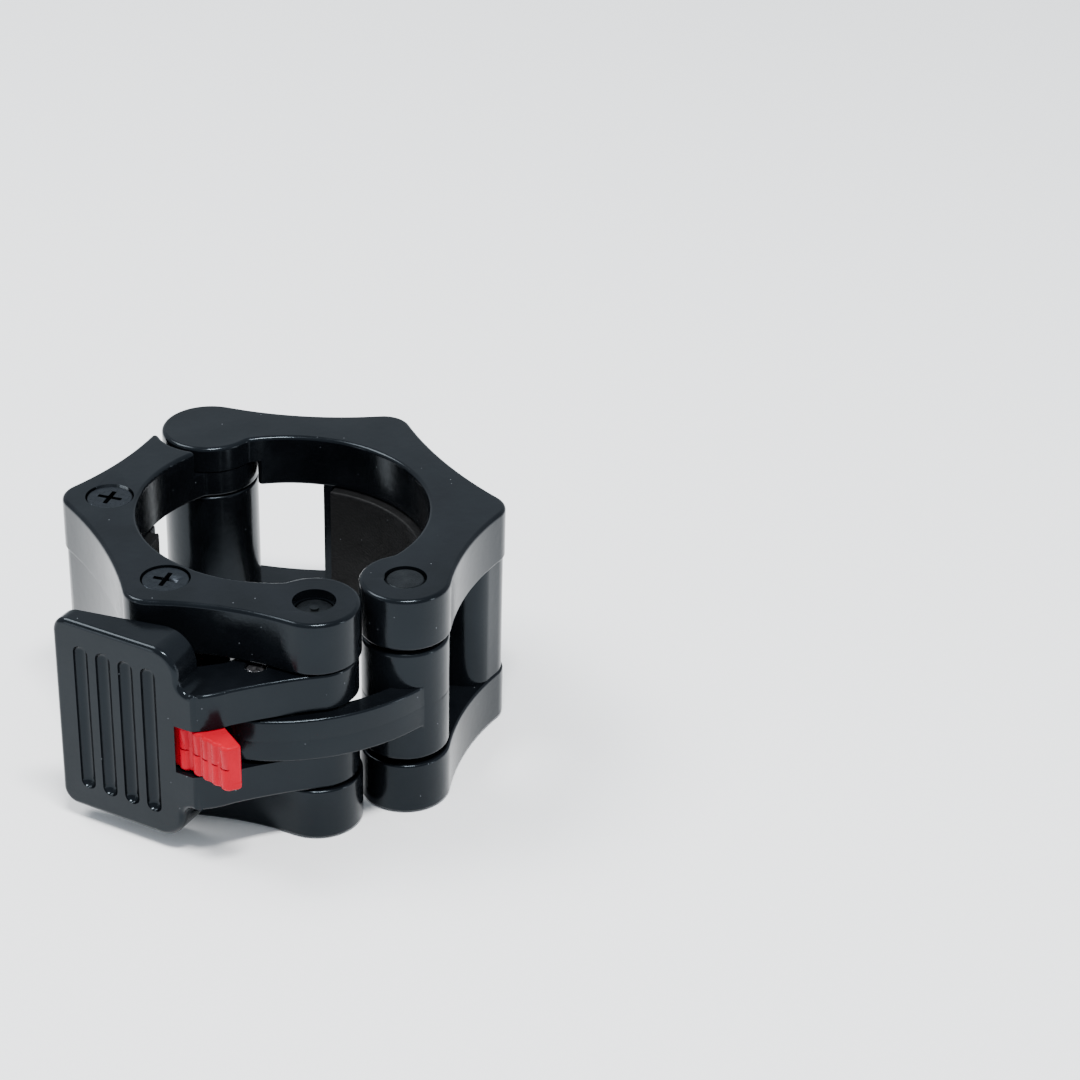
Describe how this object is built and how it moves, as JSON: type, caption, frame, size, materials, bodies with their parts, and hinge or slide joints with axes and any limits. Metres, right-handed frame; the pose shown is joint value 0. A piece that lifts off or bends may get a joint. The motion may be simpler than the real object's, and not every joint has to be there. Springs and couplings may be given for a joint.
{
  "type": "barbell collar",
  "caption": "Hinged two-jaw barbell collar that clamps a bar sleeve with an over-centre lever, a link and a spring-loaded thumb latch.",
  "frame": {"origin": "on the bar's axis, at half the collar's width", "axes": "+Z along the bar, -Y towards the mouth that opens, +Y towards the hinge, -X towards the lever"},
  "size_m": [0.0864, 0.0869, 0.045],
  "materials": {
    "black_plastic": "semi-gloss moulded",
    "grip_rubber": "matte",
    "screw_steel": "zinc-plated",
    "insert_brass": "machined",
    "pin_steel": "ground",
    "dark_pin": "black oxide",
    "red_plastic": "semi-gloss moulded"
  },
  "bodies": {
    "right_jaw": {"right_jaw_frame": "black_plastic", "right_screw_plate": "black_plastic", "right_pad": "grip_rubber", "right_screws": "screw_steel", "right_inserts": "insert_brass", "hinge_pin": "pin_steel", "hinge_barrel": "black_plastic", "link_barrel_pin": "dark_pin"},
    "left_jaw": {"left_jaw_frame": "black_plastic", "left_screw_plate": "black_plastic", "left_pad": "grip_rubber", "left_screws": "screw_steel", "left_inserts": "insert_brass", "lever_pin": "dark_pin"},
    "lever_body": {"lever": "black_plastic", "lever_link_pin": "pin_steel", "latch_pin": "pin_steel"},
    "link_body": {"link": "black_plastic"},
    "latch_body": {"latch": "red_plastic", "latch_spring": "pin_steel"}
  },
  "joints": [
    {"name": "jaw_swing", "type": "hinge", "parent": "right_jaw", "child": "left_jaw", "pos_m": [0, 0.0344, 0], "axis": [0, 0, -1], "range_deg": [0, 6.5]},
    {"name": "lever_swing", "type": "hinge", "parent": "left_jaw", "child": "lever_body", "pos_m": [-0.0088, -0.0326, 0], "axis": [0, 0, 1], "range_deg": [0, 90]},
    {"name": "link_swing", "type": "hinge", "parent": "right_jaw", "child": "link_body", "pos_m": [0.0088, -0.0326, 0], "axis": [0, 0, 1], "range_deg": [0, 20.9]},
    {"name": "latch_press", "type": "hinge", "parent": "lever_body", "child": "latch_body", "pos_m": [-0.0295, -0.0323, 0], "axis": [0, 0, 1], "range_deg": [0, 10], "stiffness_Nm_per_rad": 0.02, "springref_deg": -17.19}
  ],
  "couplings": [
    {"joint": "jaw_swing", "follows": "lever_swing", "ratio": 0.07119},
    {"joint": "link_swing", "follows": "lever_swing", "ratio": 0.23089}
  ]
}
